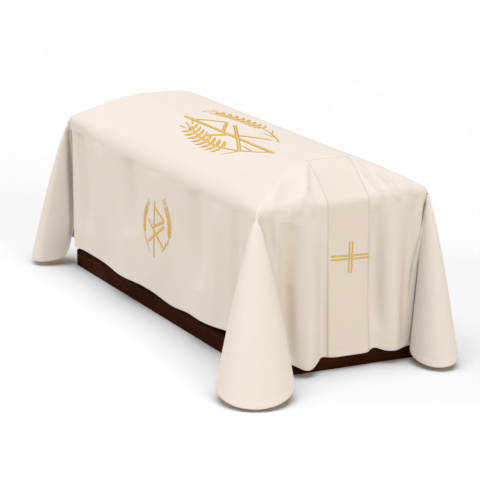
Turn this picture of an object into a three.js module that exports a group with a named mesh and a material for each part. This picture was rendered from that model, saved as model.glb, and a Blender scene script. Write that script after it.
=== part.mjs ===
// A cream coffin drape lying over a plain dark coffin. Millimetres, +Z up.
// X runs along the coffin towards its foot end, Y runs across it, and the floor is at Z = 0.
import * as THREE from "three";

// Coffin, by its outside edges
const RIM_LENGTH = 1950;
const RIM_WIDTH = 720;
const LID_BOTTOM = 640;
const CHEST_INSET = 30; // from the lid's rim
const PLINTH_INSET = 9; // from the lid's rim
const PLINTH_HEIGHT = 80;
const PLINTH_CHAMFER = 8;
const PIECE_GAP = 0.3;

// Crowned lid, by the cloth that lies on it
const CROWN_RISE = 137; // from the rim to the crest
const END_SLOPE = 166; // length in plan of the slope at each end
const SIDE_SLOPE = 232; // width in plan of the slope on each long side
const CROWN_SHARPNESS = 8; // a larger number gives a flatter crest with harder edges

// Cloth
const CLOTH_THICKNESS = 2;
const CLOTH_CLEARANCE = 3; // between the cloth and the coffin
const STANDOFF = CLOTH_THICKNESS + CLOTH_CLEARANCE;
const HALF_LENGTH = RIM_LENGTH / 2 + STANDOFF;
const HALF_WIDTH = RIM_WIDTH / 2 + STANDOFF;
const RIM_HEIGHT = 688; // outside of the cloth where the lid's slopes end
const CORNER_EDGE = 14; // how softly the cloth turns over the rim at its corners
const EDGE_REACH = 420; // along the rim, from a corner to where the edge is at its softest
const SIDE_SWELL = 1.15; // above 1, the cloth hangs plumb before it flares

// Band sewn down the foot end
const BAND_CENTRE = 12;
const BAND_WIDTH = 184;
const BAND_THICKNESS = 1.2;
const BAND_GAP = 0.4;
const BAND_TOP_INSET = 190; // from the foot rim, in plan

// How each hanging side falls: edge is how softly the cloth turns over the rim in the middle of the side,
// hem the hem's height, flare how far it stands out, and tuckStart and tuckEnd how far it draws in
// beside each corner fold.
const FALL = {
  near: { edge: 46, hem: 110, flare: 14, tuckStart: 25, tuckEnd: 60 },
  foot: { edge: 16, hem: 58, flare: 16, tuckStart: 95, tuckEnd: 65 },
  far: { edge: 24, hem: 108, flare: 14, tuckStart: 50, tuckEnd: 60 },
  head: { edge: 16, hem: 60, flare: 16, tuckStart: 60, tuckEnd: 65 },
};
const SIDES = {
  near: { along: [1, 0], out: [0, -1], half: HALF_LENGTH, ...FALL.near },
  foot: { along: [0, 1], out: [1, 0], half: HALF_WIDTH, ...FALL.foot },
  far: { along: [-1, 0], out: [0, 1], half: HALF_LENGTH, ...FALL.far },
  head: { along: [0, -1], out: [-1, 0], half: HALF_WIDTH, ...FALL.head },
};
const TUCK_REACH = 260; // along the rim, from a corner
const VALLEY_REACH = 60; // along the rim, where the cloth lies back against the coffin
const VALLEY_FLARE = 3;

// Hanging folds: at and width along the side, push outwards and lift of the hem, all at the hem.
const FOLDS = [
  { side: "near", at: -965, width: 45, push: 0, lift: 78 },
  { side: "near", at: -880, width: 55, push: 14, lift: 0 },
  { side: "near", at: -640, width: 130, push: -8, lift: -6 },
  { side: "near", at: -340, width: 160, push: 20, lift: -2 },
  { side: "near", at: 130, width: 150, push: -8, lift: -21 },
  { side: "near", at: 470, width: 130, push: 18, lift: 5 },
  { side: "near", at: 720, width: 120, push: -6, lift: 20 },
  { side: "foot", at: -188, width: 56, push: 38, lift: -25 },
  { side: "foot", at: -96, width: 28, push: -12, lift: 3 },
  { side: "foot", at: 134, width: 28, push: -13, lift: 12 },
  { side: "foot", at: 220, width: 52, push: 24, lift: 0 },
  { side: "far", at: -815, width: 85, push: 80, lift: 14 },
  { side: "far", at: -340, width: 160, push: 15, lift: -12 },
  { side: "far", at: 130, width: 140, push: -8, lift: 9 },
  { side: "far", at: 560, width: 140, push: 15, lift: -8 },
  { side: "head", at: -165, width: 60, push: 22, lift: -12 },
  { side: "head", at: 30, width: 70, push: -6, lift: 8 },
  { side: "head", at: 190, width: 60, push: 20, lift: -10 },
];

// Corner folds: the spare cloth of each corner hangs from the rim's corner as a rounded cone.
// lean and shift place the middle of its foot, as an angle from +X and a distance from the rim's corner.
// deep and wide are the foot's radii along the lean and across it.
// The hem is lowest, at tip, at the angle low round the cone, and climbs by rise to the opposite angle.
const CORNERS = [
  { from: "near", to: "foot", lean: -28, shift: 201, deep: 176, wide: 152, tip: 12, rise: 80, low: 0 },
  { from: "foot", to: "far", lean: -5, shift: 86, deep: 128, wide: 90, tip: 17, rise: 60, low: -25 },
  { from: "far", to: "head", lean: 142, shift: 140, deep: 130, wide: 130, tip: 16, rise: 70, low: 0 },
  { from: "head", to: "near", lean: 218, shift: 112, deep: 80, wide: 104, tip: 20, rise: 90, low: 85 },
];
const CONE_SWELL = 0.79; // below 1, a cone is fuller near its top
const CORNER_TURN = 150; // degrees of the cone's foot on each side of its front
const VALLEY_SHARE = 0.2; // share of a corner's cloth that runs from each valley to the cone
const VALLEY_CLIMB = 5; // a larger number keeps the hem low until it is deep in the valley

// Corners where the cloth stands off the lid: which corner, by the signs of X and Y, and how far it moves.
const LOOSE_CORNERS = [
  { signX: 1, signY: -1, move: [0, -28, 0] },
  { signX: -1, signY: -1, move: [-18, 0, 9] },
  { signX: 1, signY: 1, move: [4, 0, 16] },
];
const LOOSE_REACH = 480; // along the rim, from a corner

// Soft ridges where the cloth pulls over the foot end's slope: start, end, height and width in plan.
const RIDGES = [
  { fromX: 790, fromY: -60, toX: 980, toY: -205, height: 9, width: 40 },
  { fromX: 800, fromY: 118, toX: 980, toY: 168, height: 6, width: 30 },
  { fromX: 850, fromY: 180, toX: 980, toY: 245, height: 6, width: 34 },
];

// Grid lines of the cloth: insets from the rim, then even steps between the innermost ones.
const LENGTH_INSETS = [0, 5, 16, 60, 110, 150, BAND_TOP_INSET, 260];
const WIDTH_INSETS = [0, 5, 16, 34, 70, 125, 180, 235];
const LENGTH_STEPS = 14;
const BAND_STEPS = 3;
const HANG_ROWS = 11;
const ROW_EASE = 1.7; // above 1, the rows lie closer together near the rim

const LOOKS = {
  cream: { color: 0xe9dfcf, roughness: 0.85, metalness: 0 },
  band: { color: 0xe6dbca, roughness: 0.8, metalness: 0 },
  wood: { color: 0x2a150c, roughness: 0.4, metalness: 0 },
};

const { clamp, degToRad, lerp, smoothstep } = THREE.MathUtils;
const bump = (distance, width) => Math.exp(-((distance / width) ** 2));

// Height of the crowned lid as a share of its rise: 0 at the rim, 1 on the crest.
function crown(x, y) {
  const acrossEnd = (HALF_LENGTH - Math.abs(x)) / END_SLOPE;
  const acrossSide = (HALF_WIDTH - Math.abs(y)) / SIDE_SLOPE;
  if (acrossEnd <= 0 || acrossSide <= 0) return 0;
  const p = CROWN_SHARPNESS;
  return (1 + acrossEnd ** -p + acrossSide ** -p) ** (-1 / p);
}

// Radius at which the cloth turns over the rim of one side, at the distance s from its middle.
function edgeRadius(side, s) {
  const softness = smoothstep(side.half - Math.abs(s), 0, Math.min(EDGE_REACH, side.half));
  return lerp(CORNER_EDGE, side.edge, softness);
}

// How far the rounded edge drops below the slope that it ends.
function edgeDrop(x, y) {
  const [side, end] = [y < 0 ? SIDES.near : SIDES.far, x < 0 ? SIDES.head : SIDES.foot];
  const drop = (inset, radius) => radius - Math.sqrt(radius ** 2 - clamp(radius - inset, 0, radius) ** 2);
  return Math.max(
    drop(HALF_WIDTH - Math.abs(y), edgeRadius(side, x)),
    drop(HALF_LENGTH - Math.abs(x), edgeRadius(end, y)),
  );
}

function ridgeHeight(x, y) {
  return RIDGES.reduce((sum, r) => {
    const [dx, dy] = [r.toX - r.fromX, r.toY - r.fromY];
    const share = clamp(((x - r.fromX) * dx + (y - r.fromY) * dy) / (dx * dx + dy * dy), 0, 1);
    const away = Math.hypot(x - r.fromX - share * dx, y - r.fromY - share * dy);
    return sum + r.height * Math.sqrt(share) * bump(away, r.width);
  }, 0);
}

function lidSurface(x, y) {
  return new THREE.Vector3(x, y, RIM_HEIGHT + CROWN_RISE * crown(x, y) - edgeDrop(x, y));
}

function clothTop(x, y) {
  const point = lidSurface(x, y);
  const edgeFade = clamp((HALF_LENGTH - Math.abs(x)) / CORNER_EDGE, 0, 1);
  point.z += ridgeHeight(x, y) * edgeFade;
  return point;
}

function rimPoint(side, s) {
  const { along, out } = side;
  const across = side.half === HALF_LENGTH ? HALF_WIDTH : HALF_LENGTH;
  const height = RIM_HEIGHT - edgeRadius(side, s);
  return new THREE.Vector3(along[0] * s + out[0] * across, along[1] * s + out[1] * across, height);
}

// The hem of one side at the distance s along its rim, from the middle.
function hemPoint(name, s) {
  const side = SIDES[name];
  const [fromStart, fromEnd] = [side.half + s, side.half - s];
  const tuck = (distance) => clamp(1 - distance / TUCK_REACH, 0, 1) ** 2;
  const slide = side.tuckStart * tuck(fromStart) - side.tuckEnd * tuck(fromEnd);
  const valley = Math.max(bump(fromStart, VALLEY_REACH), bump(fromEnd, VALLEY_REACH));
  let push = lerp(side.flare, VALLEY_FLARE, valley);
  let height = side.hem;
  for (const fold of FOLDS.filter((f) => f.side === name)) {
    push += fold.push * bump(s - fold.at, fold.width) * (1 - valley);
    height += fold.lift * bump(s - fold.at, fold.width);
  }
  const point = rimPoint(side, s);
  point.x += side.along[0] * slide + side.out[0] * push;
  point.y += side.along[1] * slide + side.out[1] * push;
  point.z = height;
  return point;
}

// The hem round one corner fold, from the side it leaves at share 0 to the side it joins at share 1.
function cornerHem(corner, share) {
  const from = SIDES[corner.from];
  const middle = rimPoint(from, from.half);
  const lean = degToRad(corner.lean);
  const turn = degToRad(CORNER_TURN) * (2 * share - 1);
  const [forward, sideways] = [corner.shift + corner.deep * Math.cos(turn), corner.wide * Math.sin(turn)];
  const valley = share < 0.5 ? hemPoint(corner.from, from.half) : hemPoint(corner.to, -SIDES[corner.to].half);
  const fullness = coneShare(share);
  const climb = (1 - Math.cos(turn - degToRad(corner.low))) / 2;
  const low = 1 - (1 - fullness) ** VALLEY_CLIMB;
  return new THREE.Vector3(
    lerp(valley.x, middle.x + forward * Math.cos(lean) - sideways * Math.sin(lean), fullness),
    lerp(valley.y, middle.y + forward * Math.sin(lean) + sideways * Math.cos(lean), fullness),
    lerp(valley.z, corner.tip + corner.rise * climb, low),
  );
}

// 0 in the valleys beside a corner fold, 1 on its cone.
function coneShare(share) {
  return Math.sin((Math.PI / 2) * clamp(Math.min(share, 1 - share) / VALLEY_SHARE, 0, 1));
}

// A point of hanging cloth at the share t of the way from the rim to the hem.
function hang(rim, hem, t, swell) {
  const reach = t ** swell;
  return new THREE.Vector3(lerp(rim.x, hem.x, reach), lerp(rim.y, hem.y, reach), lerp(rim.z, hem.z, t));
}

// A line of the cloth's grid either crosses the lid at a distance, or hangs past the rim by a share t.
function gridLines(half, insets, between) {
  const rows = Array.from({ length: HANG_ROWS }, (_, k) => ((k + 1) / HANG_ROWS) ** ROW_EASE);
  const low = insets.map((inset) => ({ past: 0, at: inset - half }));
  const high = insets.map((inset) => ({ past: 0, at: half - inset })).reverse();
  return [
    ...rows.map((t) => ({ past: -1, t })).reverse(),
    ...low,
    ...between.map((at) => ({ past: 0, at })),
    ...high,
    ...rows.map((t) => ({ past: 1, t })),
  ];
}

function cornerPoint(lengthLine, widthLine) {
  const names = [lengthLine.past > 0 ? "foot" : "head", widthLine.past > 0 ? "far" : "near"];
  const corner = CORNERS.find((c) => names.includes(c.from) && names.includes(c.to));
  const [toEnd, toSide] = [lengthLine.t, widthLine.t];
  const t = Math.max(toEnd, toSide);
  const endShare = toEnd <= toSide ? toEnd / toSide / 2 : 1 - toSide / toEnd / 2;
  const share = names[0] === corner.to ? endShare : 1 - endShare;
  const from = SIDES[corner.from];
  const swell = lerp(SIDE_SWELL, CONE_SWELL, coneShare(share));
  return hang(rimPoint(from, from.half), cornerHem(corner, share), t, swell);
}

// Moves a point of the cloth by what its nearest corner stands off the lid.
function loosened(point) {
  const moved = point.clone();
  for (const { signX, signY, move } of LOOSE_CORNERS) {
    const near = smoothstep(signX * point.x, HALF_LENGTH - LOOSE_REACH, HALF_LENGTH);
    const share = near * smoothstep(signY * point.y, 0, HALF_WIDTH);
    const lift = share * clamp(point.z / RIM_HEIGHT, 0, 1);
    moved.add(new THREE.Vector3(move[0] * share, move[1] * share, move[2] * lift));
  }
  return moved;
}

function drapePoint(lengthLine, widthLine) {
  if (lengthLine.past && widthLine.past) return cornerPoint(lengthLine, widthLine);
  if (!lengthLine.past && !widthLine.past) return clothTop(lengthLine.at, widthLine.at);
  const hanging = lengthLine.past ? lengthLine : widthLine;
  const name = lengthLine.past
    ? { 1: "foot", "-1": "head" }[lengthLine.past]
    : { 1: "far", "-1": "near" }[widthLine.past];
  const side = SIDES[name];
  const at = lengthLine.past ? widthLine.at : lengthLine.at;
  const s = at * (side.along[0] + side.along[1]);
  return hang(rimPoint(side, s), hemPoint(name, s), hanging.t, SIDE_SWELL);
}

// Two triangles for each cell of a grid, facing up where X and Y increase along it.
function gridFaces(columns, rows, vertexAt, forward) {
  const faces = [];
  for (let i = 0; i + 1 < columns; i++) {
    for (let j = 0; j + 1 < rows; j++) {
      const [a, b, c, d] = [vertexAt(i, j), vertexAt(i + 1, j), vertexAt(i + 1, j + 1), vertexAt(i, j + 1)];
      faces.push(...(forward(i, j) ? [a, b, c, a, c, d] : [a, b, d, b, c, d]));
    }
  }
  return faces;
}

function geometryOf(points, faces) {
  return new THREE.BufferGeometry().setFromPoints(points).setIndex(faces);
}

// Outward directions at the points of a grid.
function gridNormals(grid, forward) {
  const rows = grid[0].length;
  const faces = gridFaces(grid.length, rows, (i, j) => i * rows + j, forward);
  const geometry = geometryOf(grid.flat(), faces);
  geometry.computeVertexNormals();
  const normals = geometry.getAttribute("normal");
  const normalAt = (i, j) => new THREE.Vector3().fromBufferAttribute(normals, i * rows + j);
  return grid.map((line, i) => line.map((_, j) => normalAt(i, j)));
}

function offsetGrid(grid, normals, distance) {
  return grid.map((line, i) => line.map((p, j) => p.clone().addScaledVector(normals[i][j], distance)));
}

// A closed solid between two grids of the same size, the outer one above or outside the inner one.
function solidBetween(outer, inner, forward = () => true) {
  const [columns, rows] = [outer.length, outer[0].length];
  const size = columns * rows;
  const top = (i, j) => i * rows + j;
  const under = (i, j) => size + top(i, j);
  const outside = gridFaces(columns, rows, top, forward);
  const inside = gridFaces(columns, rows, under, forward).reverse();
  const border = [];
  for (let i = 0; i + 1 < columns; i++) border.push([i, 0]);
  for (let j = 0; j + 1 < rows; j++) border.push([columns - 1, j]);
  for (let i = columns - 1; i > 0; i--) border.push([i, rows - 1]);
  for (let j = rows - 1; j > 0; j--) border.push([0, j]);
  const edge = border.flatMap(([i, j], k) => {
    const [p, q] = border[(k + 1) % border.length];
    return [under(i, j), under(p, q), top(p, q), under(i, j), top(p, q), top(i, j)];
  });
  return geometryOf([...outer.flat(), ...inner.flat()], [...outside, ...inside, ...edge]);
}

// A closed solid through rectangles stacked up the Z axis.
function stackedRectangles(levels) {
  const corners = [[-1, -1], [1, -1], [1, 1], [-1, 1]];
  const points = levels.flatMap(({ z, length, width }) =>
    corners.map(([u, v]) => new THREE.Vector3((u * length) / 2, (v * width) / 2, z)),
  );
  const top = 4 * (levels.length - 1);
  const faces = [0, 2, 1, 0, 3, 2, top, top + 1, top + 2, top, top + 2, top + 3];
  for (let base = 0; base < top; base += 4) {
    for (let k = 0; k < 4; k++) {
      const [a, b] = [base + k, base + ((k + 1) % 4)];
      faces.push(a, b, b + 4, a, b + 4, a + 4);
    }
  }
  return geometryOf(points, faces);
}

function piece(name, geometry, look) {
  const mesh = new THREE.Mesh(geometry, new THREE.MeshStandardMaterial(LOOKS[look]));
  mesh.name = name;
  return mesh;
}

// Grid of the whole cloth
const bandEdges = [BAND_CENTRE - BAND_WIDTH / 2, BAND_CENTRE + BAND_WIDTH / 2];
const innerLength = HALF_LENGTH - LENGTH_INSETS.at(-1);
const lengthSteps = Array.from({ length: LENGTH_STEPS - 1 }, (_, k) =>
  lerp(-innerLength, innerLength, (k + 1) / LENGTH_STEPS),
);
const widthSteps = Array.from({ length: BAND_STEPS + 1 }, (_, k) => lerp(...bandEdges, k / BAND_STEPS));
const lengthLines = gridLines(HALF_LENGTH, LENGTH_INSETS, lengthSteps);
const widthLines = gridLines(HALF_WIDTH, WIDTH_INSETS, widthSteps);
const cloth = lengthLines.map((a) => widthLines.map((b) => loosened(drapePoint(a, b))));
// Corner cells split along the line that runs out from the rim's corner.
const pastRim = (lines, k) => lines[k].past || lines[k + 1].past;
const splits = (i, j) => pastRim(lengthLines, i) * pastRim(widthLines, j) >= 0;
const clothNormals = gridNormals(cloth, splits);

function drape() {
  const inside = offsetGrid(cloth, clothNormals, -CLOTH_THICKNESS);
  return piece("drape", solidBetween(cloth, inside, splits), "cream");
}

// The band follows the cloth from the head of the foot slope to the hem.
function footBand() {
  const first = lengthLines.findIndex((line) => !line.past && line.at === HALF_LENGTH - BAND_TOP_INSET);
  const left = widthLines.findIndex((line) => !line.past && line.at === bandEdges[0]);
  const cut = (grid) => grid.slice(first).map((line) => line.slice(left, left + BAND_STEPS + 1));
  const [under, normals] = [cut(cloth), cut(clothNormals)];
  const inner = offsetGrid(under, normals, BAND_GAP);
  const outer = offsetGrid(under, normals, BAND_GAP + BAND_THICKNESS);
  return piece("foot_band", solidBetween(outer, inner), "band");
}

function coffinLid() {
  const onLid = (lines) => lines.filter((line) => !line.past);
  const surface = onLid(lengthLines).map((a) => onLid(widthLines).map((b) => lidSurface(a.at, b.at)));
  const always = () => true;
  const normals = gridNormals(surface, always);
  const rimSquare = (p) => new THREE.Vector3(
    clamp(p.x, -RIM_LENGTH / 2, RIM_LENGTH / 2),
    clamp(p.y, -RIM_WIDTH / 2, RIM_WIDTH / 2),
    p.z,
  );
  const top = offsetGrid(surface, normals, -STANDOFF).map((line) => line.map(rimSquare));
  const bottom = top.map((line) => line.map((p) => new THREE.Vector3(p.x, p.y, LID_BOTTOM)));
  return piece("coffin_lid", solidBetween(top, bottom), "wood");
}

function coffinChest() {
  const [length, width] = [RIM_LENGTH - 2 * CHEST_INSET, RIM_WIDTH - 2 * CHEST_INSET];
  const levels = [PLINTH_HEIGHT + PIECE_GAP, LID_BOTTOM - PIECE_GAP].map((z) => ({ z, length, width }));
  return piece("coffin_chest", stackedRectangles(levels), "wood");
}

function coffinPlinth() {
  const [length, width] = [RIM_LENGTH - 2 * PLINTH_INSET, RIM_WIDTH - 2 * PLINTH_INSET];
  const levels = [
    { z: 0, length, width },
    { z: PLINTH_HEIGHT - PLINTH_CHAMFER, length, width },
    { z: PLINTH_HEIGHT, length: length - 2 * PLINTH_CHAMFER, width: width - 2 * PLINTH_CHAMFER },
  ];
  return piece("coffin_plinth", stackedRectangles(levels), "wood");
}

const drapedCoffin = new THREE.Group();
drapedCoffin.add(drape(), footBand(), coffinLid(), coffinChest(), coffinPlinth());

export default drapedCoffin;
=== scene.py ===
# A cream coffin drape lying over a dark coffin: its finished looks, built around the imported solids.
# Sizes are in millimetres, as on the solids, and meshes are made in metres.
# X runs along the coffin towards its foot end, Y runs across it, and the floor is at Z = 0.
import math
from collections import namedtuple

import bpy
import numpy as np
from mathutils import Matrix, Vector, noise


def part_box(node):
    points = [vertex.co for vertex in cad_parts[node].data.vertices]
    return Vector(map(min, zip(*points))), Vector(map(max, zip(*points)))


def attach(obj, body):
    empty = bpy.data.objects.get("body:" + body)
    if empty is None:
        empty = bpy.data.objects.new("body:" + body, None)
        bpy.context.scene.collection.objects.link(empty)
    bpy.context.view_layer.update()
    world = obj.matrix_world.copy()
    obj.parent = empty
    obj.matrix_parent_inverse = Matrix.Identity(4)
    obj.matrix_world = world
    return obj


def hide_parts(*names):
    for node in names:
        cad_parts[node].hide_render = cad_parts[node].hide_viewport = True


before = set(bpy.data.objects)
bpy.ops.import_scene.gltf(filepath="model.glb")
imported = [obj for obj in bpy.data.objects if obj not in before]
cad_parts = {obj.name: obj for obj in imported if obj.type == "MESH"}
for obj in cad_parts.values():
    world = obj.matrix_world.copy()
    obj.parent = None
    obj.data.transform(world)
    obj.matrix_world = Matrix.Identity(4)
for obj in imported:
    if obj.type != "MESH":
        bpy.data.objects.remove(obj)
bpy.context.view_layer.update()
MM = 0.001

# Cloth on the crowned lid
LID_LOW, LID_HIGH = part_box("coffin_lid")
STANDOFF = 5  # from the lid's rim to the outside of the cloth
HALF_LENGTH = round(LID_HIGH.x / MM) + STANDOFF
HALF_WIDTH = round(LID_HIGH.y / MM) + STANDOFF
RIM_HEIGHT = 688  # outside of the cloth where the lid's slopes end
CROWN_RISE = 137  # from the rim to the crest
END_SLOPE = 166  # length in plan of the slope at each end
SIDE_SLOPE = 232  # width in plan of the slope on each long side
CROWN_SHARPNESS = 8  # a larger number gives a flatter crest with harder edges
CORNER_EDGE = 14  # how softly the cloth turns over the rim at its corners
EDGE_REACH = 420  # along the rim, from a corner to where the edge is at its softest
CLOTH_THICKNESS = 2

# How each hanging side falls: edge is how softly the cloth turns over the rim in the middle of the side,
# hem the hem's height, flare how far it stands out, and the tucks how far it draws in beside each corner.
Side = namedtuple("Side", "along out half across edge hem flare tuck_start tuck_end")
SIDES = {
    "near": Side((1, 0), (0, -1), HALF_LENGTH, HALF_WIDTH, 46, 110, 14, 25, 60),
    "foot": Side((0, 1), (1, 0), HALF_WIDTH, HALF_LENGTH, 16, 58, 16, 95, 65),
    "far": Side((-1, 0), (0, 1), HALF_LENGTH, HALF_WIDTH, 24, 108, 14, 50, 60),
    "head": Side((0, -1), (-1, 0), HALF_WIDTH, HALF_LENGTH, 16, 60, 16, 60, 65),
}
SIDE_SWELL = 1.15  # above 1, the cloth hangs plumb before it flares
TUCK_REACH = 260  # along the rim, from a corner
VALLEY_REACH = 60  # along the rim, where the cloth lies back against the coffin
VALLEY_FLARE = 3

# Hanging folds: at and width along the side, push outwards and lift of the hem, all at the hem.
Fold = namedtuple("Fold", "side at width push lift")
FOLDS = (
    Fold("near", -965, 45, 0, 78),
    Fold("near", -880, 55, 14, 0),
    Fold("near", -640, 130, -8, -6),
    Fold("near", -340, 160, 20, -2),
    Fold("near", 130, 150, -8, -21),
    Fold("near", 470, 130, 18, 5),
    Fold("near", 720, 120, -6, 20),
    Fold("foot", -188, 56, 38, -25),
    Fold("foot", -96, 28, -12, 3),
    Fold("foot", 134, 28, -13, 12),
    Fold("foot", 220, 52, 24, 0),
    Fold("far", -815, 85, 80, 14),
    Fold("far", -340, 160, 15, -12),
    Fold("far", 130, 140, -8, 9),
    Fold("far", 560, 140, 15, -8),
    Fold("head", -165, 60, 22, -12),
    Fold("head", 30, 70, -6, 8),
    Fold("head", 190, 60, 20, -10),
)

# Corner folds: the spare cloth of each corner hangs from the rim's corner as a rounded cone.
# lean and shift place the middle of its foot, as an angle from +X and a distance from the rim's corner.
# deep and wide are the foot's radii along the lean and across it.
# The hem is lowest, at tip, at the angle low round the cone, and climbs by rise to the opposite angle.
Corner = namedtuple("Corner", "start end lean shift deep wide tip rise low")
CORNERS = (
    Corner("near", "foot", -28, 201, 176, 152, 12, 80, 0),
    Corner("foot", "far", -5, 86, 128, 90, 17, 60, -25),
    Corner("far", "head", 142, 140, 130, 130, 16, 70, 0),
    Corner("head", "near", 218, 112, 80, 104, 20, 90, 85),
)
CONE_SWELL = 0.79  # below 1, a cone is fuller near its top
CORNER_TURN = 150  # degrees of the cone's foot on each side of its front
VALLEY_SHARE = 0.2  # share of a corner's cloth that runs from each valley to the cone
VALLEY_CLIMB = 5  # a larger number keeps the hem low until it is deep in the valley

# Corners where the cloth stands off the lid, by the signs of X and Y, and how far it moves.
Loose = namedtuple("Loose", "sign_x sign_y move")
LOOSE_CORNERS = (
    Loose(1, -1, (0, -28, 0)),
    Loose(-1, -1, (-18, 0, 9)),
    Loose(1, 1, (4, 0, 16)),
)
LOOSE_REACH = 480  # along the rim, from a corner

# Soft ridges where the cloth pulls over the foot end's slope: start, end, height and width in plan.
Crease = namedtuple("Crease", "from_x from_y to_x to_y height width")
RIDGES = (
    Crease(790, -60, 980, -205, 9, 40),
    Crease(800, 118, 980, 168, 6, 30),
    Crease(850, 180, 980, 245, 6, 34),
)

# Fine creases on the flat cloth: ridges, or troughs where the height is below 0.
# A place on the flat cloth is measured along the cloth from the middle of the lid:
# the rim is where it is in plan, and the hem is HANG further out.
HANG = 580
CREASES = (
    # Valleys beside the corner folds
    Crease(1012, -365, 1560, -365, -26, 14),
    Crease(1012, 367, 1550, 367, -42, 11),
    Crease(1000, 340, 1540, 338, 11, 13),
    Crease(1012, 300, 1560, 292, -18, 30),
    Crease(-980, -378, -980, -960, -46, 14),
    # Near side, next to the corner fold at the foot end
    Crease(950, -372, 962, -700, 12, 34),
    Crease(958, -560, 975, -945, -20, 22),
    # Foot end, on the near side of the band
    Crease(1030, -226, 1530, -308, -40, 34),
    Crease(1260, -250, 1560, -272, -14, 26),
    Crease(1000, -312, 1180, -306, -9, 13),
    Crease(985, -282, 1260, -312, 10, 20),
    Crease(955, -160, 1570, -158, 17, 30),
    Crease(1120, -98, 1620, -96, -15, 15),
    # Foot end, on the far side of the band
    Crease(1004, 138, 1480, 134, -30, 26),
    Crease(1200, 118, 1620, 116, -8, 13),
    Crease(960, 204, 1560, 212, 14, 36),
    # Wrinkles on the slope at the foot end, on the near side of the band
    Crease(850, -215, 990, -300, 9, 13),
    Crease(880, -180, 988, -236, -9, 11),
    Crease(824, -74, 950, -112, -10, 8),
    Crease(826, -92, 975, -168, 15, 8),
    Crease(905, -128, 1000, -214, 11, 9),
    Crease(935, -196, 1006, -226, 9, 7),
    Crease(930, -132, 1010, -146, 8, 7),
    # Wrinkles on the slope at the foot end, on the far side of the band
    Crease(880, 116, 985, 146, -10, 9),
    Crease(826, 108, 985, 162, 15, 7),
    Crease(880, 160, 996, 206, -9, 9),
    Crease(880, 176, 994, 236, 15, 7),
    Crease(900, 222, 990, 268, -10, 9),
    Crease(925, 262, 996, 316, 11, 9),
    Crease(955, 205, 1010, 212, 7, 7),
    # Near side, from the head end to the foot end
    Crease(-880, -375, -760, -840, -28, 55),
    Crease(-640, -380, -570, -900, 14, 70),
    Crease(-340, -372, -240, -720, -30, 70),
    Crease(-60, -380, -10, -900, 14, 100),
    Crease(340, -376, 430, -800, -30, 68),
    Crease(570, -385, 600, -900, 14, 55),
    Crease(770, -380, 760, -900, -22, 42),
)
LID_ROOM = 2.4  # how far a crease may sink towards the lid
CHEST_ROOM = 42  # and towards the narrower chest below it
CHEST_FADE = 22  # below the lid, where the room grows from the one to the other
WAVE_HEIGHT = 1.6  # slow unevenness of the cloth
WAVE_LENGTH = 170

# The corner of the lid, by the signs of X and Y, over which the cloth runs softly into its cone
SOFT_CORNER = (1, -1)
SOFT_REACH = 45
SOFT_ROUNDS = 14

# Grid lines of the cloth
HANG_ROWS = 42
ROW_EASE = 1.3  # above 1, the rows lie closer together near the rim
HEM_WIDTH = 20  # of the turned hem, from its edge to its stitches
HEM_RISE = 0.7  # by which the turned hem stands out
HEM_STEP = 1  # on each side of its stitches, where the hem's rise fades out
HEM_LINES = (26, 22, 20, 18, 10, 3, 0)  # distances from the hem's edge
HEM_CLEAR = 36  # from the hem's edge to the last of the plain rows
RIM_INSETS = (0, 2, 5, 9, 14, 21, 30, 42)
LENGTH_STEPS = (19, 8)  # up to the band's top, and on the foot end's slope
WIDTH_STEPS = (9, 9, 9)  # on each side of the band and under it

# Band sewn down the foot end
BAND_EDGES = (-80, 104)
BAND_TOP = HALF_LENGTH - 190
BAND_THICKNESS = 0.5
BAND_LIFT = 0.6  # from the cloth to the band's outside
BAND_SEAM = 5  # from the band's edge to its stitches

# Stitches of cream thread
STITCH_LENGTH = 3.6
STITCH_PITCH = 5
STITCH_RADIUS = 0.4
STITCH_SIDES = 5
STITCH_TAPER = 0.2  # share of a stitch's length at each end

# Embroidery of gold thread
STROKE_STEP = 4
STROKE_SECTION = 5  # points across a stroke
STROKE_SUNK = 0.8
STROKE_RISE = 1.0  # of the narrowest stroke
STROKE_FULLNESS = 0.07  # added rise for each millimetre of width
STROKE_LEAST = 0.05  # share of a stroke's width that is left at its ends
GRAIN_BALANCE = 0.8  # below 1, a grain is fullest below its middle
BLADE_TAPER = 0.6  # below 1, a leaf stays wide until near its tip
BLADE_LEAST = 0.15  # share of a leaf's width that is left at its tip
CURVE_POINTS = 40
STALK_STEP = 0.01  # share of a stalk's length over which its direction is read

# offset is how far to the right of the wreath's middle the letters stand.
Emblem = namedtuple("Emblem", "name centre up half_height half_width offset stroke grain lift")
EMBLEMS = (
    Emblem("side_emblem", (-4, -636), (0, 1), 134, 140, -12, 12, 34, 0),
    Emblem("top_emblem", (174, -82), (-1, 0), 428, 146, -44, 15, 66, 0),
)
# Shares of an emblem's half width and half height
CHI_WIDE, CHI_HIGH, CHI_MIDDLE = 0.5, 0.4, (0.1, -0.14)
BOWL_TOP, BOWL_POINT, BOWL_FOOT = 0.8, (0.58, 0.42), 0.1
EAR_FOOT, EAR_BEND, EAR_TIP = (0.36, -0.92), (1.12, -0.25), (0.68, 0.52)
EAR_LIFT = 0.26  # by which the right ear stands higher than the left one
EAR_START = 0.46  # share of the stalk's length at which the ear begins
EAR_PAIRS = 8
GRAIN_SPREAD = 34  # degrees between a grain and the stalk
GRAIN_WIDTH = 0.29  # share of a grain's length
AWN_SPREAD = 13
AWN_LENGTH = 1.9  # in lengths of a grain, from the ear's tip
LEAVES = ((0.14, 20, 0.2), (0.26, -18, 0.16))  # share up the stalk, degrees, share of its length
STALK_WIDTH, AWN_WIDTH, LEAF_WIDTH = 0.5, 0.42, 0.6  # shares of the stroke

# Cross on the band: two thin strokes each way
CROSS = Emblem("band_cross", (1182, 19), (-1, 0.05), 62, 86, 0, 6, 0, BAND_LIFT)
CROSS_APART = 6.5  # from the middle line to each stroke

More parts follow.
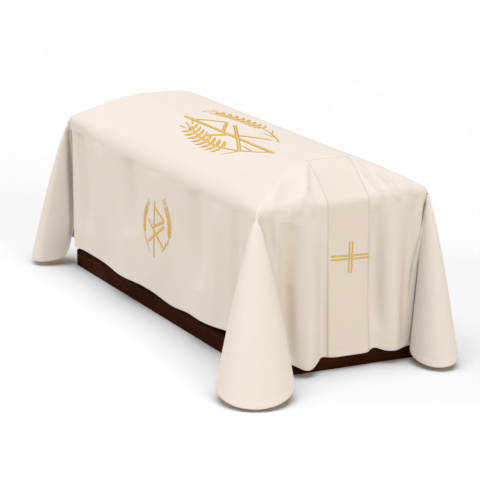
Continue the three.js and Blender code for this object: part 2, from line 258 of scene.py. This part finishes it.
# Threads of the weave and of the embroidery
WAVE_TURN = 2 * math.pi / 20  # a wave texture's length at scale 1
THREAD_PITCH = 0.0009
SLUB_LONG, SLUB_FINE = 7, 520  # marks to the metre along the slubs and across them
CLOUD_MARKS = 5  # slow changes of tone to the metre
EDGE_SHARPNESS = 2  # an even number, so that both edges of a stroke get the same painted shade
EDGE_PAINTED_SHADE = 0.45  # painted shade: how much darker the gold is painted where the threads turn down at a stroke's edge

# Camera and floor
CAMERA_TARGET = Vector((0, 0, 0.33))
CAMERA_DISTANCE = 10
CAMERA_AZIMUTH = math.radians(63.87)
CAMERA_ELEVATION = math.radians(14.29)
CAMERA_LENS = 173.5
CAMERA_SHIFT = (0.0077, -0.0129)
FLOOR_SIZE = 120
FLOOR_DROP = 0.0005

# Light: an even warm room and soft lamps from above, from the left of the view and from the foot end
ROOM_COLOUR = (1, 0.84, 0.6, 1)
ROOM_STRENGTH = 0.42
Lamp = namedtuple("Lamp", "name direction energy spread colour")
LAMPS = (
    Lamp("overhead", (0.1, -0.1, 1), 2.2, 60, (1, 1.1, 1.29)),
    Lamp("left", (-0.6, -1, 0.5), 0.8, 25, (1, 0.91, 0.79)),
    Lamp("foot", (1, 0.1, 0.35), 0.95, 25, (1, 0.93, 0.81)),
)


def bump(distance, width):
    return np.exp(-((distance / width) ** 2))


def blend(start, end, share):
    return start + (end - start) * share


def eased(value, start, end):
    share = np.clip((value - start) / (end - start), 0, 1)
    return share * share * (3 - 2 * share)


def crown(x, y):
    """Height of the crowned lid as a share of its rise: 0 at the rim, 1 on the crest."""
    tiny = 1e-6
    across_end = np.maximum((HALF_LENGTH - abs(x)) / END_SLOPE, tiny)
    across_side = np.maximum((HALF_WIDTH - abs(y)) / SIDE_SLOPE, tiny)
    p = CROWN_SHARPNESS
    return (1 + across_end**-p + across_side**-p) ** (-1 / p)


def edge_radius(side, s):
    """Radius at which the cloth turns over the rim of one side, at the distance s from its middle."""
    return blend(CORNER_EDGE, side.edge, eased(side.half - abs(s), 0, min(EDGE_REACH, side.half)))


def edge_drop(x, y):
    """How far the rounded edge drops below the slope that it ends."""
    def drop(inset, radius):
        return radius - np.sqrt(radius**2 - np.clip(radius - inset, 0, radius) ** 2)

    beside = np.where(y < 0, edge_radius(SIDES["near"], x), edge_radius(SIDES["far"], x))
    at_end = np.where(x < 0, edge_radius(SIDES["head"], y), edge_radius(SIDES["foot"], y))
    return np.maximum(drop(HALF_WIDTH - abs(y), beside), drop(HALF_LENGTH - abs(x), at_end))


def crease_parts(crease, x, y):
    """How far along a crease a place lies, as a share, and how far away from it."""
    dx, dy = crease.to_x - crease.from_x, crease.to_y - crease.from_y
    share = np.clip(((x - crease.from_x) * dx + (y - crease.from_y) * dy) / (dx * dx + dy * dy), 0, 1)
    away = np.hypot(x - crease.from_x - share * dx, y - crease.from_y - share * dy)
    return share, away


def cloth_top(x, y):
    x, y = np.broadcast_arrays(x, y)
    height = RIM_HEIGHT + CROWN_RISE * crown(x, y) - edge_drop(x, y)
    edge_fade = np.clip((HALF_LENGTH - abs(x)) / CORNER_EDGE, 0, 1)
    for ridge in RIDGES:
        share, away = crease_parts(ridge, x, y)
        height = height + ridge.height * np.sqrt(share) * bump(away, ridge.width) * edge_fade
    return np.stack([x, y, height], axis=-1)


def rim_points(side, s):
    s = np.asarray(s, float)
    x = side.along[0] * s + side.out[0] * side.across
    y = side.along[1] * s + side.out[1] * side.across
    return np.stack([x, y, RIM_HEIGHT - edge_radius(side, s)], axis=-1)


def hem_points(name, s):
    """The hem of one side at the distances s along its rim, from the middle."""
    side = SIDES[name]
    from_start, from_end = side.half + s, side.half - s
    tuck_start = side.tuck_start * np.clip(1 - from_start / TUCK_REACH, 0, 1) ** 2
    tuck_end = side.tuck_end * np.clip(1 - from_end / TUCK_REACH, 0, 1) ** 2
    slide = tuck_start - tuck_end
    valley = np.maximum(bump(from_start, VALLEY_REACH), bump(from_end, VALLEY_REACH))
    push = blend(side.flare, VALLEY_FLARE, valley)
    height = np.full_like(push, side.hem)
    for fold in FOLDS:
        if fold.side == name:
            push = push + fold.push * bump(s - fold.at, fold.width) * (1 - valley)
            height = height + fold.lift * bump(s - fold.at, fold.width)
    points = rim_points(side, s)
    points[..., 0] += side.along[0] * slide + side.out[0] * push
    points[..., 1] += side.along[1] * slide + side.out[1] * push
    points[..., 2] = height
    return points


def cone_share(share):
    """0 in the valleys beside a corner fold, 1 on its cone."""
    return np.sin(np.pi / 2 * np.clip(np.minimum(share, 1 - share) / VALLEY_SHARE, 0, 1))


def corner_hem(corner, share):
    """The hem round one corner fold, from the side it leaves at share 0 to the side it joins at share 1."""
    start, end = SIDES[corner.start], SIDES[corner.end]
    middle = rim_points(start, start.half)
    lean, low = math.radians(corner.lean), math.radians(corner.low)
    turn = math.radians(CORNER_TURN) * (2 * share - 1)
    forward = corner.shift + corner.deep * np.cos(turn)
    sideways = corner.wide * np.sin(turn)
    valley_start = hem_points(corner.start, np.array(float(start.half)))
    valley_end = hem_points(corner.end, np.array(-float(end.half)))
    valley = np.where(share[..., None] < 0.5, valley_start, valley_end)
    fullness = cone_share(share)
    climb = (1 - np.cos(turn - low)) / 2
    x = middle[0] + forward * math.cos(lean) - sideways * math.sin(lean)
    y = middle[1] + forward * math.sin(lean) + sideways * math.cos(lean)
    z = corner.tip + corner.rise * climb
    return np.stack([
        blend(valley[..., 0], x, fullness),
        blend(valley[..., 1], y, fullness),
        blend(valley[..., 2], z, 1 - (1 - fullness) ** VALLEY_CLIMB),
    ], axis=-1)


def hang(rim, hem, share, swell):
    """Points of hanging cloth at a share of the way from the rim to the hem."""
    plan = blend(rim[..., :2], hem[..., :2], (share**swell)[..., None])
    height = blend(rim[..., 2], hem[..., 2], share)
    return np.concatenate([plan, height[..., None]], axis=-1)


def side_fall(name, at, shares):
    side = SIDES[name]
    s = at * (side.along[0] + side.along[1])
    return hang(rim_points(side, s)[None], hem_points(name, s)[None], shares[:, None], SIDE_SWELL)


def corner_fall(corner, to_end, to_side):
    to_end, to_side = np.broadcast_arrays(to_end, to_side)
    end_share = np.where(to_end <= to_side, to_end / to_side / 2, 1 - to_side / to_end / 2)
    share = end_share if corner.end in ("foot", "head") else 1 - end_share
    start = SIDES[corner.start]
    swell = blend(SIDE_SWELL, CONE_SWELL, cone_share(share))
    fallen = np.maximum(to_end, to_side)
    return hang(rim_points(start, start.half), corner_hem(corner, share), fallen, swell)


def loosened(points):
    """Moves the cloth by what its corners stand off the lid."""
    moved = points.copy()
    height = np.clip(points[..., 2] / RIM_HEIGHT, 0, 1)
    for sign_x, sign_y, move in LOOSE_CORNERS:
        near = eased(sign_x * points[..., 0], HALF_LENGTH - LOOSE_REACH, HALF_LENGTH)
        share = near * eased(sign_y * points[..., 1], 0, HALF_WIDTH)
        moved += np.stack([move[0] * share, move[1] * share, move[2] * share * height], axis=-1)
    return moved


# A line of the cloth's grid either crosses the lid at a distance, or hangs past the rim by a share.
Lines = namedtuple("Lines", "past at share")


def grid_lines(half, stops, steps):
    plain = (np.arange(1, HANG_ROWS + 1) / HANG_ROWS) ** ROW_EASE * (1 - HEM_CLEAR / HANG)
    shares = np.concatenate([plain, 1 - np.array(HEM_LINES) / HANG])
    insets = np.array(RIM_INSETS)
    ends = [insets[-1] - half, *stops, half - insets[-1]]
    spans = [
        np.linspace(a, b, round((b - a) / step) + 1)
        for a, b, step in zip(ends, ends[1:], steps)
    ]
    over_lid = np.unique(np.concatenate([insets - half, half - insets, *spans]))
    hanging, lying = np.ones(len(shares)), np.zeros(len(over_lid))
    return Lines(
        np.concatenate([-hanging, lying, hanging]),
        np.concatenate([-half * hanging, over_lid, half * hanging]),
        np.concatenate([shares[::-1], lying, shares]),
    )


def flat_places(lines):
    return lines.at + lines.past * lines.share * HANG


def drape_points(length, width):
    """The outside of the cloth where the lines across its length and its width meet."""
    points = np.empty((len(length.at), len(width.at), 3))
    rows = {past: np.flatnonzero(length.past == past) for past in (-1, 0, 1)}
    columns = {past: np.flatnonzero(width.past == past) for past in (-1, 0, 1)}
    lid_x, lid_y = length.at[rows[0]], width.at[columns[0]]
    points[np.ix_(rows[0], columns[0])] = cloth_top(lid_x[:, None], lid_y[None, :])
    for name, past in (("head", -1), ("foot", 1)):
        points[np.ix_(rows[past], columns[0])] = side_fall(name, lid_y, length.share[rows[past]])
    for name, past in (("near", -1), ("far", 1)):
        fall = side_fall(name, lid_x, width.share[columns[past]])
        points[np.ix_(rows[0], columns[past])] = fall.swapaxes(0, 1)
    for corner in CORNERS:
        names = (corner.start, corner.end)
        row = rows[1 if "foot" in names else -1]
        column = columns[1 if "far" in names else -1]
        fall = corner_fall(corner, length.share[row][:, None], width.share[column][None, :])
        points[np.ix_(row, column)] = fall
    return loosened(points)


def grid_normals(points):
    shortest = 1e-9
    normals = np.cross(np.gradient(points, axis=0), np.gradient(points, axis=1))
    return normals / np.maximum(np.linalg.norm(normals, axis=-1, keepdims=True), shortest)


def fine_relief(points, flat):
    """Height of the fine creases, the slow unevenness and the turned hem above the plain drape."""
    relief = np.zeros(points.shape[:2])
    for crease in CREASES:
        share, away = crease_parts(crease, flat[..., 0], flat[..., 1])
        relief += crease.height * np.sqrt(np.sin(np.pi * share).clip(0)) * bump(away, crease.width)
    waves = [noise.noise(Vector(p) / WAVE_LENGTH) for p in points.reshape(-1, 3)]
    past_rim = np.maximum(abs(flat[..., 0]) - HALF_LENGTH, abs(flat[..., 1]) - HALF_WIDTH)
    below_lid = LID_LOW.z / MM - points[..., 2]
    relief = np.maximum(relief, -blend(LID_ROOM, CHEST_ROOM, eased(below_lid, 0, CHEST_FADE)))
    hanging = np.clip(past_rim / HANG, 0, 1)
    relief += WAVE_HEIGHT * np.array(waves).reshape(relief.shape) * hanging
    return relief + HEM_RISE * eased(past_rim, HANG - HEM_WIDTH - HEM_STEP, HANG - HEM_WIDTH + HEM_STEP)


def softened(points, flat):
    """Rounds off the cloth near one corner of the lid."""
    corner = np.array([SOFT_CORNER[0] * HALF_LENGTH, SOFT_CORNER[1] * HALF_WIDTH])
    away = np.linalg.norm(flat - corner, axis=-1)
    share = (1 - eased(away, 0, SOFT_REACH))[1:-1, 1:-1, None] / 2
    soft = points.copy()
    for _ in range(SOFT_ROUNDS):
        around = (soft[:-2, 1:-1] + soft[2:, 1:-1] + soft[1:-1, :-2] + soft[1:-1, 2:]) / 4
        soft[1:-1, 1:-1] = blend(soft[1:-1, 1:-1], around, share)
    return soft


length_lines = grid_lines(HALF_LENGTH, (BAND_TOP,), LENGTH_STEPS)
width_lines = grid_lines(HALF_WIDTH, BAND_EDGES, WIDTH_STEPS)
flat_x, flat_y = flat_places(length_lines), flat_places(width_lines)
flat_cloth = np.stack(np.meshgrid(flat_x, flat_y, indexing="ij"), axis=-1)
plain_cloth = drape_points(length_lines, width_lines)
relief = fine_relief(plain_cloth, flat_cloth)
creased_cloth = plain_cloth + grid_normals(plain_cloth) * relief[..., None]
cloth = softened(creased_cloth, flat_cloth)
cloth_normals = grid_normals(cloth)


def on_cloth(flat, height):
    """Points at a height above places on the flat cloth, and the directions in which they stand up."""
    def between(grid):
        i = np.interp(flat[..., 0], flat_x, np.arange(len(flat_x)))
        j = np.interp(flat[..., 1], flat_y, np.arange(len(flat_y)))
        row = np.minimum(i.astype(int), len(flat_x) - 2)
        column = np.minimum(j.astype(int), len(flat_y) - 2)
        u, v = (i - row)[..., None], (j - column)[..., None]
        low = blend(grid[row, column], grid[row + 1, column], u)
        high = blend(grid[row, column + 1], grid[row + 1, column + 1], u)
        return blend(low, high, v)

    normals = between(cloth_normals)
    return between(cloth) + normals * np.asarray(height)[..., None], normals


def new_piece(name, points, faces, flat, material):
    """A mesh object in metres that rides on the coffin, with the flat places as its map."""
    mesh = bpy.data.meshes.new(name)
    mesh.from_pydata((np.asarray(points) * MM).tolist(), [], faces)
    corners = np.empty(len(mesh.loops), int)
    mesh.loops.foreach_get("vertex_index", corners)
    places = mesh.uv_layers.new(name="flat")
    places.data.foreach_set("uv", (np.asarray(flat)[corners] * MM).ravel())
    mesh.shade_smooth()
    mesh.materials.append(material)
    piece = bpy.data.objects.new(name, mesh)
    bpy.context.scene.collection.objects.link(piece)
    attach(piece, "root")
    return piece


def sheet_piece(name, points, flat, thickness, material):
    """A closed sheet whose outside runs through a grid of points."""
    columns = points.shape[1]
    index = np.arange(points.shape[0] * columns).reshape(points.shape[:2])
    quads = np.stack([index[:-1, :-1], index[1:, :-1], index[1:, 1:], index[:-1, 1:]], axis=-1)
    faces = quads.reshape(-1, 4).tolist()
    piece = new_piece(name, points.reshape(-1, 3), faces, flat.reshape(-1, 2), material)
    solid = piece.modifiers.new("thickness", "SOLIDIFY")
    solid.thickness = thickness * MM
    solid.offset = -1
    return piece


def distances_along(path):
    steps = np.linalg.norm(np.diff(path, axis=0), axis=1)
    return np.concatenate([[0], np.cumsum(steps)])


def stitch_row(flat_path, height):
    """Points and faces of the stitches along a path on the flat cloth."""
    dense, _ = on_cloth(flat_path, np.full(len(flat_path), height))
    along = distances_along(dense)

    def at(distances):
        places = [np.interp(distances, along, flat_path[:, k]) for k in (0, 1)]
        return on_cloth(np.stack(places, axis=-1), np.full(len(distances), height))

    starts = np.arange(0, along[-1] - STITCH_PITCH, STITCH_PITCH)
    start, up = at(starts)
    run = at(starts + STITCH_LENGTH)[0] - start
    side = np.cross(run, up) / np.linalg.norm(run, axis=1, keepdims=True)
    angles = np.arange(STITCH_SIDES) * 2 * np.pi / STITCH_SIDES
    sideways, upwards = np.cos(angles)[:, None], np.sin(angles)[:, None]
    ring = STITCH_RADIUS * (side[:, None] * sideways + up[:, None] * upwards)
    first = (start + run * STITCH_TAPER)[:, None] + ring
    last = (start + run * (1 - STITCH_TAPER))[:, None] + ring
    points = np.concatenate([start[:, None], first, last, (start + run)[:, None]], axis=1)
    end = 2 * STITCH_SIDES + 1
    faces = []
    for k in range(STITCH_SIDES):
        a, b = 1 + k, 1 + (k + 1) % STITCH_SIDES
        c, d = b + STITCH_SIDES, a + STITCH_SIDES
        faces += [(0, b, a), (a, b, c, d), (d, c, end)]
    count = points.shape[1]
    shifted = [tuple(v + row * count for v in face) for row in range(len(points)) for face in faces]
    return points.reshape(-1, 3), shifted


def joined(parts):
    """One list of points and one of faces from several."""
    points, faces = [], []
    for part_points, part_faces in parts:
        base = sum(len(p) for p in points)
        points.append(part_points)
        faces += [tuple(v + base for v in face) for face in part_faces]
    return np.concatenate(points), faces


def dense_path(corners, step):
    """A path through corners with a point at least every step."""
    spans = []
    for a, b in zip(corners, corners[1:]):
        count = max(2, math.ceil(math.dist(a, b) / step) + 1)
        spans.append(np.linspace(a, b, count)[:-1])
    return np.concatenate([*spans, [corners[-1]]])


def sewn(name, seams, height, material):
    """One piece of stitches along seams on the flat cloth."""
    points, faces = joined([stitch_row(dense_path(seam, STROKE_STEP), height) for seam in seams])
    return new_piece(name, points, faces, points[:, :2], material)


def bar(along, width):
    """Half widths of a stroke with round ends."""
    from_end = np.minimum(along, along[-1] - along) / (width / 2)
    roundness = 1 - (1 - np.clip(from_end, 0, 1)) ** 2
    return width / 2 * np.sqrt(np.clip(roundness, STROKE_LEAST, 1))


def grain(along, width):
    """Half widths of a grain, pointed at both ends and fullest below its middle."""
    share = along / along[-1]
    return width / 2 * np.clip(np.sin(np.pi * share**GRAIN_BALANCE), STROKE_LEAST, 1)


def blade(along, width):
    """Half widths of a stroke that tapers to its tip."""
    share = along / along[-1]
    return width / 2 * np.clip((1 - share) ** BLADE_TAPER, BLADE_LEAST, 1)


def stroke(line, width, form, lift):
    """Points and faces of a raised stroke along a line on the flat cloth, and its points' places on it."""
    path = dense_path(line, STROKE_STEP)
    along = distances_along(path)
    half = form(along, width)
    run = np.gradient(path, axis=0)
    run /= np.linalg.norm(run, axis=1, keepdims=True)
    side = np.stack([run[:, 1], -run[:, 0]], axis=-1)
    across = np.linspace(-1, 1, STROKE_SECTION)
    across = np.concatenate([[-1], across, [1]])
    rise = (STROKE_RISE + STROKE_FULLNESS * 2 * half)[:, None] * np.sqrt(1 - across**2)
    rise[:, [0, -1]] = -STROKE_SUNK
    flat = path[:, None] + side[:, None] * (half[:, None] * across)[..., None]
    points, _ = on_cloth(flat, rise + lift)
    places = np.stack(np.broadcast_arrays(along[:, None], across / MM), axis=-1)
    count = len(across)
    faces = [tuple(range(count))[::-1], tuple(range((len(path) - 1) * count, len(path) * count))]
    for ring in range(len(path) - 1):
        for k in range(count):
            a, b = ring * count + k, ring * count + (k + 1) % count
            faces.append((a, b, b + count, a + count))
    return points.reshape(-1, 3), faces, places.reshape(-1, 2)


def turned(direction, degrees):
    angle = math.radians(degrees)
    x, y = direction
    along, across = math.cos(angle), math.sin(angle)
    return np.array([x * along - y * across, x * across + y * along])


def curve(start, bend, end):
    share = np.linspace(0, 1, CURVE_POINTS)[:, None]
    return (1 - share) ** 2 * start + 2 * share * (1 - share) * bend + share**2 * end


def wheat_strokes(emblem, hand):
    """Lines, widths and forms of one stalk of wheat, on the right for hand 1 and on the left for -1."""
    scale = np.array([hand * emblem.half_width, emblem.half_height])
    lift = np.array([0, max(hand, 0) * EAR_LIFT])
    stalk = curve(*((np.array(p) + lift) * scale for p in (EAR_FOOT, EAR_BEND, EAR_TIP)))
    along = distances_along(stalk)
    length = along[-1]

    def at(share):
        return np.array([np.interp(share * length, along, stalk[:, k]) for k in (0, 1)])

    def place(share):
        within = share < 1 - STALK_STEP
        run = at(share + STALK_STEP) - at(share) if within else stalk[-1] - stalk[-2]
        return at(share), run / np.linalg.norm(run)

    size = emblem.grain
    strokes = [(stalk, STALK_WIDTH * emblem.stroke, bar)]
    for share in np.linspace(EAR_START, 1, EAR_PAIRS):
        here, run = place(share)
        for spread in (GRAIN_SPREAD, -GRAIN_SPREAD):
            strokes.append(([here, here + turned(run, spread) * size], GRAIN_WIDTH * size, grain))
    tip, run = place(1)
    strokes.append(([tip, tip + run * size], GRAIN_WIDTH * size, grain))
    for spread in (-AWN_SPREAD, 0, AWN_SPREAD):
        away = turned(run, spread) * size
        strokes.append(([tip + away, tip + away * AWN_LENGTH], AWN_WIDTH * emblem.stroke, bar))
    for share, spread, reach in LEAVES:
        here, run = place(share)
        end = here + turned(run, spread * hand) * reach * length
        strokes.append(([here, end], LEAF_WIDTH * emblem.stroke, blade))
    return strokes


def christogram_strokes(emblem):
    """Lines, widths and forms of a plain christogram: a staff with a bowl, and a cross laid over it."""
    wide, high = emblem.half_width, emblem.half_height
    arm_x, arm_y = CHI_WIDE * wide, CHI_HIGH * high
    middle_x, middle_y = CHI_MIDDLE[0] * wide, CHI_MIDDLE[1] * high
    point = (BOWL_POINT[0] * wide, BOWL_POINT[1] * high)
    lines = (
        [(0, -high), (0, high)],
        [(0, BOWL_TOP * high), point],
        [point, (0, BOWL_FOOT * high)],
        [(middle_x - arm_x, middle_y + arm_y), (middle_x + arm_x, middle_y - arm_y)],
        [(middle_x + arm_x, middle_y + arm_y), (middle_x - arm_x, middle_y - arm_y)],
    )
    return [(np.array(line, float) + (emblem.offset, 0), emblem.stroke, bar) for line in lines]


def cross_strokes(emblem):
    lines = []
    for apart in (-CROSS_APART, CROSS_APART):
        lines.append([(apart, -emblem.half_height), (apart, emblem.half_height)])
        lines.append([(-emblem.half_width, apart), (emblem.half_width, apart)])
    return [(np.array(line, float), emblem.stroke, bar) for line in lines]


def embroider(emblem, strokes, material):
    """One piece of raised gold strokes, drawn upright in the emblem's own frame on the flat cloth."""
    up = np.array(emblem.up) / np.linalg.norm(emblem.up)
    right = np.array([up[1], -up[0]])
    parts, places = [], []
    for line, width, form in strokes:
        drawn = np.asarray(line)
        line_on_cloth = np.array(emblem.centre) + drawn[:, :1] * right + drawn[:, 1:] * up
        points, faces, flat = stroke(line_on_cloth, width, form, emblem.lift)
        parts.append((points, faces))
        places.append(flat)
    points, faces = joined(parts)
    return new_piece(emblem.name, points, faces, np.concatenate(places), material)


def add_node(tree, kind, inputs=None, **settings):
    """Adds a shader node, sets its properties, and sets or links its inputs."""
    made = tree.nodes.new("ShaderNode" + kind)
    for key, value in settings.items():
        setattr(made, key, value)
    for key, value in (inputs or {}).items():
        if isinstance(value, bpy.types.NodeSocket):
            tree.links.new(value, made.inputs[key])
        else:
            made.inputs[key].default_value = value
    return made


def new_material(name, **settings):
    """A material with one shader, whose even values are set on its own sockets."""
    material = bpy.data.materials.new(name)
    material.use_nodes = True
    tree = material.node_tree
    tree.nodes.clear()
    shader = add_node(tree, "BsdfPrincipled")
    for key, value in settings.items():
        shader.inputs[key.replace("_", " ")].default_value = value
    add_node(tree, "OutputMaterial", {"Surface": shader.outputs["BSDF"]})
    return material, tree, shader


def colour_ramp(tree, share, colours):
    """Colours spread evenly over the shares from 0 to 1."""
    ramp = add_node(tree, "ValToRGB", {"Fac": share})
    stops = ramp.color_ramp.elements
    halfway = 0.5
    while len(stops) < len(colours):
        stops.new(halfway)
    for k, colour in enumerate(colours):
        stops[k].position = k / (len(colours) - 1)
        stops[k].color = (*colour, 1)
    return ramp.outputs["Color"]


def stretched_noise(tree, place, stretch, detail):
    """Noise whose marks are as long each way as the numbers in stretch are small."""
    spread = add_node(tree, "Mapping", {"Vector": place, "Scale": stretch})
    marks = add_node(tree, "TexNoise", {"Vector": spread.outputs["Vector"], "Scale": 1, "Detail": detail})
    return marks.outputs["Fac"]


def mean(tree, first, second):
    total = add_node(tree, "Math", {0: first, 1: second}, operation="ADD")
    return add_node(tree, "Math", {0: total.outputs[0], 1: 0.5}, operation="MULTIPLY").outputs[0]


def cloth_material(name, light, dark):
    """Fine plain weave with faint slubs both ways and slow changes of tone."""
    material, tree, shader = new_material(
        name, Roughness=0.82, Sheen_Weight=0.18, Sheen_Roughness=0.5, Specular_IOR_Level=0.25
    )
    place = add_node(tree, "TexCoord").outputs["UV"]
    slubs = mean(
        tree,
        stretched_noise(tree, place, (SLUB_LONG, SLUB_FINE, 1), detail=3),
        stretched_noise(tree, place, (SLUB_FINE, SLUB_LONG, 1), detail=3),
    )
    clouds = stretched_noise(tree, place, (CLOUD_MARKS, CLOUD_MARKS, 1), detail=2)
    tone = mean(tree, slubs, clouds)
    tree.links.new(colour_ramp(tree, tone, (dark, light, dark)), shader.inputs["Base Color"])
    threads = [
        add_node(
            tree,
            "TexWave",
            {"Vector": place, "Scale": WAVE_TURN / THREAD_PITCH, "Distortion": 0.6},
            bands_direction=direction,
        ).outputs["Fac"]
        for direction in "XY"
    ]
    weave = mean(tree, mean(tree, *threads), slubs)
    relief = add_node(tree, "Bump", {"Height": weave, "Strength": 0.25, "Distance": 0.0006})
    tree.links.new(relief.outputs["Normal"], shader.inputs["Normal"])
    return material


def gold_material():
    """Satin stitches that lie across each stroke, with a silky gloss and painted shade towards each
    stroke's edges.
    """
    material, tree, shader = new_material(
        "gold_thread", Roughness=0.42, Metallic=0.15, Sheen_Weight=0.1, Specular_IOR_Level=0.5
    )
    place = add_node(tree, "TexCoord").outputs["UV"]
    tone = stretched_noise(tree, place, (420, 0.3, 1), detail=2)
    # Painted shade: the gold is darkened towards both edges of each stroke, down to the dark brown of the
    # first gold, in place of the shadow between strokes.
    across = add_node(tree, "SeparateXYZ", {"Vector": place}).outputs["Y"]
    beside = add_node(tree, "Math", {0: across, 1: EDGE_SHARPNESS}, operation="POWER").outputs[0]
    painted_shading = {0: beside, 1: -EDGE_PAINTED_SHADE, 2: tone}
    shaded = add_node(tree, "Math", painted_shading, operation="MULTIPLY_ADD").outputs[0]
    golds = ((0.24, 0.1, 0.014), (0.68, 0.4, 0.055), (0.9, 0.62, 0.13), (1, 0.78, 0.26))
    tree.links.new(colour_ramp(tree, shaded, golds), shader.inputs["Base Color"])
    threads = add_node(
        tree, "TexWave", {"Vector": place, "Scale": WAVE_TURN / THREAD_PITCH, "Distortion": 0.8}
    ).outputs["Fac"]
    relief = add_node(tree, "Bump", {"Height": threads, "Strength": 0.5, "Distance": 0.0005})
    tree.links.new(relief.outputs["Normal"], shader.inputs["Normal"])
    return material


def thread_material():
    """Cream sewing thread."""
    material, tree, shader = new_material("cream_thread", Roughness=0.6, Sheen_Weight=0.2)
    place = add_node(tree, "TexCoord").outputs["Object"]
    tone = stretched_noise(tree, place, (300, 300, 300), detail=2)
    creams = ((0.66, 0.57, 0.45), (0.8, 0.73, 0.62))
    tree.links.new(colour_ramp(tree, tone, creams), shader.inputs["Base Color"])
    return material


def wood_material():
    """Dark red-brown stain with grain along each board and little gloss."""
    material, tree, shader = new_material("dark_wood", Roughness=0.6, Specular_IOR_Level=0.01)
    place = add_node(tree, "TexCoord").outputs["Object"]
    axes = add_node(tree, "SeparateXYZ", {"Vector": place})
    along = add_node(tree, "Math", {0: axes.outputs["X"], 1: axes.outputs["Y"]}, operation="ADD")
    board = add_node(tree, "CombineXYZ", {"X": along.outputs[0], "Z": axes.outputs["Z"]}).outputs["Vector"]
    streaks = stretched_noise(tree, board, (5, 1, 95), detail=6)
    patches = stretched_noise(tree, board, (2.4, 1, 9), detail=2)
    stain = ((0.004, 0.0013, 0.0005), (0.03, 0.0085, 0.003), (0.11, 0.032, 0.011))
    tree.links.new(colour_ramp(tree, mean(tree, streaks, patches), stain), shader.inputs["Base Color"])
    relief = add_node(tree, "Bump", {"Height": streaks, "Strength": 0.2, "Distance": 0.001})
    tree.links.new(relief.outputs["Normal"], shader.inputs["Normal"])
    return material


def floor_material():
    """Pale matt floor with hardly any change of tone."""
    material, tree, shader = new_material("pale_floor", Roughness=0.9, Specular_IOR_Level=0.1)
    place = add_node(tree, "TexCoord").outputs["Object"]
    tone = stretched_noise(tree, place, (0.5, 0.5, 0.5), detail=1)
    greys = ((0.76, 0.76, 0.76), (0.77, 0.77, 0.77))
    tree.links.new(colour_ramp(tree, tone, greys), shader.inputs["Base Color"])
    return material


# Materials
cream = cloth_material("cream_cloth", light=(0.705, 0.64, 0.58), dark=(0.645, 0.575, 0.505))
band_cream = cloth_material("band_cloth", light=(0.69, 0.62, 0.55), dark=(0.64, 0.565, 0.49))
gold = gold_material()
thread = thread_material()
wood = wood_material()

# Drape
drape = sheet_piece("drape_cloth", cloth, flat_cloth, CLOTH_THICKNESS, cream)
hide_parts("drape")

# Foot band
band_rows = flat_x >= BAND_TOP
band_columns = (flat_y >= BAND_EDGES[0]) & (flat_y <= BAND_EDGES[1])
on_band = np.ix_(band_rows, band_columns)
band = sheet_piece(
    "band_cloth",
    cloth[on_band] + cloth_normals[on_band] * BAND_LIFT,
    flat_cloth[on_band],
    BAND_THICKNESS,
    band_cream,
)
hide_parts("foot_band")

# Hem stitches
seam_x, seam_y = (half + HANG - HEM_WIDTH for half in (HALF_LENGTH, HALF_WIDTH))
seam_signs = ((1, -1), (1, 1), (-1, 1), (-1, -1), (1, -1))
hem_seam = [(u * seam_x, v * seam_y) for u, v in seam_signs]
hem_stitches = sewn("hem_stitches", [hem_seam], 0, thread)

# Band stitches
band_end = HALF_LENGTH + HANG
seam_top = BAND_TOP + BAND_SEAM
seam_edges = (BAND_EDGES[0] + BAND_SEAM, BAND_EDGES[1] - BAND_SEAM)
band_seams = [[(seam_top, edge), (band_end, edge)] for edge in seam_edges]
band_seams.append([(seam_top, edge) for edge in seam_edges])
band_stitches = sewn("band_stitches", band_seams, BAND_LIFT, thread)

# Embroidery
for emblem in EMBLEMS:
    strokes = christogram_strokes(emblem) + wheat_strokes(emblem, 1) + wheat_strokes(emblem, -1)
    embroider(emblem, strokes, gold)
cross = embroider(CROSS, cross_strokes(CROSS), gold)

# Coffin
for node in ("coffin_lid", "coffin_chest", "coffin_plinth"):
    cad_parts[node].data.materials.clear()
    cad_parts[node].data.materials.append(wood)

# Floor
floor_mesh = bpy.data.meshes.new("floor")
reach = FLOOR_SIZE / 2
floor_signs = ((-1, -1), (1, -1), (1, 1), (-1, 1))
floor_points = [(u * reach, v * reach, -FLOOR_DROP) for u, v in floor_signs]
floor_mesh.from_pydata(floor_points, [], [range(len(floor_points))])
floor_mesh.materials.append(floor_material())
floor = bpy.data.objects.new("floor", floor_mesh)
bpy.context.scene.collection.objects.link(floor)

# Room and lamps
world = bpy.data.worlds.new("room")
world.use_nodes = True
room = world.node_tree.nodes["Background"]
room.inputs["Color"].default_value = ROOM_COLOUR
room.inputs["Strength"].default_value = ROOM_STRENGTH
bpy.context.scene.world = world
for lamp in LAMPS:
    light = bpy.data.lights.new(lamp.name, "SUN")
    light.energy = lamp.energy
    light.color = lamp.colour
    light.angle = math.radians(lamp.spread)
    holder = bpy.data.objects.new(lamp.name, light)
    holder.rotation_euler = Vector(lamp.direction).to_track_quat("Z", "Y").to_euler()
    bpy.context.scene.collection.objects.link(holder)

# Camera
camera = bpy.data.cameras.new("camera")
camera.lens = CAMERA_LENS
camera.shift_x, camera.shift_y = CAMERA_SHIFT
camera.clip_end = 2 * FLOOR_SIZE
viewer = bpy.data.objects.new("camera", camera)
level = math.cos(CAMERA_ELEVATION)
back = Vector((
    math.sin(CAMERA_AZIMUTH) * level,
    -math.cos(CAMERA_AZIMUTH) * level,
    math.sin(CAMERA_ELEVATION),
))
viewer.location = CAMERA_TARGET + CAMERA_DISTANCE * back
viewer.rotation_euler = back.to_track_quat("Z", "Y").to_euler()
bpy.context.scene.collection.objects.link(viewer)
bpy.context.scene.camera = viewer
bpy.context.scene.view_settings.view_transform = "Standard"
